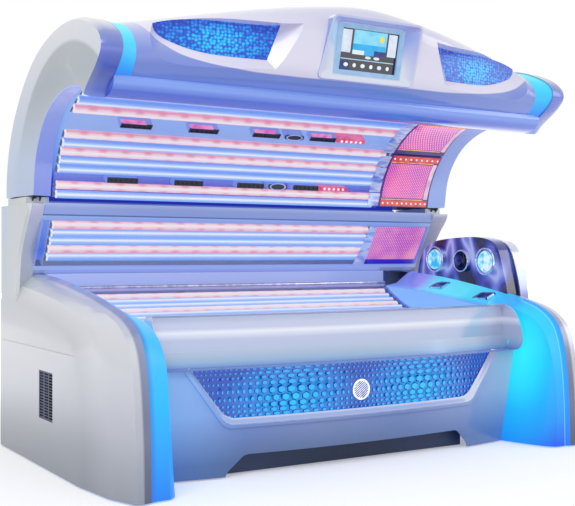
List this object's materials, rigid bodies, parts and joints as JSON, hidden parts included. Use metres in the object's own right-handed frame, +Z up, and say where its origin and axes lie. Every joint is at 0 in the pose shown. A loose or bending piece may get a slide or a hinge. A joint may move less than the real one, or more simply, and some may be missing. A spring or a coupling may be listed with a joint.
{
  "type": "lay-down sunbed",
  "caption": "Lay-down sunbed: a lit bench with curved lamps under acrylic and a hinged canopy of lamps that swings down over the person lying on it.",
  "frame": {"origin": "on the floor under the middle of the bounding box", "axes": "+X along the bed to the head end, -Y the front where the user gets in, +Z up; canopy open as in the picture"},
  "size_m": [2.39, 1.446, 1.9595],
  "materials": {
    "pearl_silver": "pearl gloss",
    "canopy_grey": "satin",
    "rail_silver": "satin",
    "lit_blue": "translucent, lit from inside",
    "deck_blue": "gloss",
    "honeycomb": "gloss",
    "glow_panel": "lit",
    "badge_metal": "ridged, satin",
    "navy": "matte",
    "periwinkle": "satin",
    "acrylic": "clear acrylic",
    "reflector": "bright rolled aluminium",
    "lamp_blue": "frosted",
    "lamp_red": "frosted",
    "black_plastic": "matte",
    "steel_frame": "powder coated",
    "rubber_feet": "matte",
    "bright_steel": "ground",
    "lens_blue": "lit honeycomb",
    "bezel": "gloss",
    "display": "display glass",
    "led_red": "lit",
    "facial": "lit",
    "chrome": "mirror",
    "nozzle": "lit rings",
    "fan_dark": "matte",
    "button_start": "satin",
    "button_stop": "satin"
  },
  "bodies": {
    "base": {"right_side_shell": "pearl_silver", "left_side_shell": "pearl_silver", "vent_grilles": "black_plastic", "right_wing_light": "lit_blue", "left_wing_light": "lit_blue", "head_deck": "deck_blue", "front_fascia": "pearl_silver", "honeycomb_panel": "honeycomb", "badge_disc": "badge_metal", "honeycomb_light_box": "glow_panel", "toe_kick": "navy", "front_rail": "rail_silver", "bench_tray": "reflector", "base_lamps_blue": "lamp_blue", "base_lamps_red": "lamp_red", "base_lamp_holders": "black_plastic", "bench_rear_bar": "periwinkle", "base_frame": "steel_frame", "levelling_feet": "rubber_feet", "blower_housings": "steel_frame", "ballast_units": "steel_frame", "rear_cover": "canopy_grey", "power_inlet": "black_plastic", "side_tanner_screen": "acrylic", "side_tanner_housing": "periwinkle", "shoulder_tanner": "facial", "hinge_brackets": "steel_frame", "lift_cylinders": "bright_steel", "console_face": "chrome", "console_hood": "pearl_silver"},
    "canopy": {"right_end_cap": "pearl_silver", "left_end_cap": "pearl_silver", "canopy_inner_rims": "pearl_silver", "canopy_shell": "canopy_grey", "canopy_light_strips": "lit_blue", "canopy_front_cover": "pearl_silver", "canopy_lenses": "lens_blue", "display_bezel": "bezel", "display_screen": "display", "canopy_lip": "periwinkle", "canopy_reflector": "reflector", "canopy_lamps_blue": "lamp_blue", "canopy_lamps_red": "lamp_red", "canopy_lamp_holders": "black_plastic", "canopy_screen": "acrylic", "canopy_vents_speakers": "black_plastic", "canopy_led_strips": "led_red", "canopy_facial_tanners": "facial", "canopy_frame": "steel_frame"},
    "lift_rods": {"lift_rods": "bright_steel"},
    "bench_pane": {"bench_pane": "acrylic", "pane_hinge_rod": "bright_steel"},
    "left_blower": {"left_blower_rotor": "fan_dark"},
    "right_blower": {"right_blower_rotor": "fan_dark"},
    "left_nozzle": {"left_air_nozzle": "nozzle"},
    "right_nozzle": {"right_air_nozzle": "nozzle"},
    "console_fan": {"console_fan_rotor": "fan_dark"},
    "start_button": {"start_button": "button_start"},
    "stop_button": {"stop_button": "button_stop"}
  },
  "joints": [
    {"name": "canopy_hinge", "type": "hinge", "parent": "base", "child": "canopy", "pos_m": [0, 0.366, 1.165], "axis": [1, 0, 0], "range_deg": [0, 47]},
    {"name": "lift_rod_slide", "type": "slide", "parent": "base", "child": "lift_rods", "axis": [0, 0, 1], "range_m": [0, 0.139]},
    {"name": "bench_pane_hinge", "type": "hinge", "parent": "base", "child": "bench_pane", "pos_m": [0, 0.4883, 0.742], "axis": [1, 0, 0], "range_deg": [-30, 0]},
    {"name": "left_blower_spin", "type": "hinge", "parent": "base", "child": "left_blower", "pos_m": [-0.52, 0.33, 0.105], "axis": [0, 0, 1], "continuous": true},
    {"name": "right_blower_spin", "type": "hinge", "parent": "base", "child": "right_blower", "pos_m": [0.52, 0.33, 0.105], "axis": [0, 0, 1], "continuous": true},
    {"name": "left_nozzle_pan", "type": "hinge", "parent": "base", "child": "left_nozzle", "pos_m": [1.05, -0.174, 0.862], "axis": [0, 0, 1], "range_deg": [-18, 18]},
    {"name": "right_nozzle_pan", "type": "hinge", "parent": "base", "child": "right_nozzle", "pos_m": [1.05, 0.223, 0.872], "axis": [0, 0, 1], "range_deg": [-18, 18]},
    {"name": "console_fan_spin", "type": "hinge", "parent": "base", "child": "console_fan", "pos_m": [1.059, 0.026, 0.864], "axis": [1, 0, 0], "continuous": true},
    {"name": "start_button_press", "type": "slide", "parent": "base", "child": "start_button", "axis": [0.3999, 0, -0.9166], "range_m": [0, 0.003], "stiffness_N_per_m": 900, "springref_m": -0.002},
    {"name": "stop_button_press", "type": "slide", "parent": "base", "child": "stop_button", "axis": [0.3999, 0, -0.9166], "range_m": [0, 0.003], "stiffness_N_per_m": 900, "springref_m": -0.002}
  ],
  "couplings": [
    {"joint": "lift_rod_slide", "follows": "canopy_hinge", "m_per_rad": 0.16916}
  ]
}
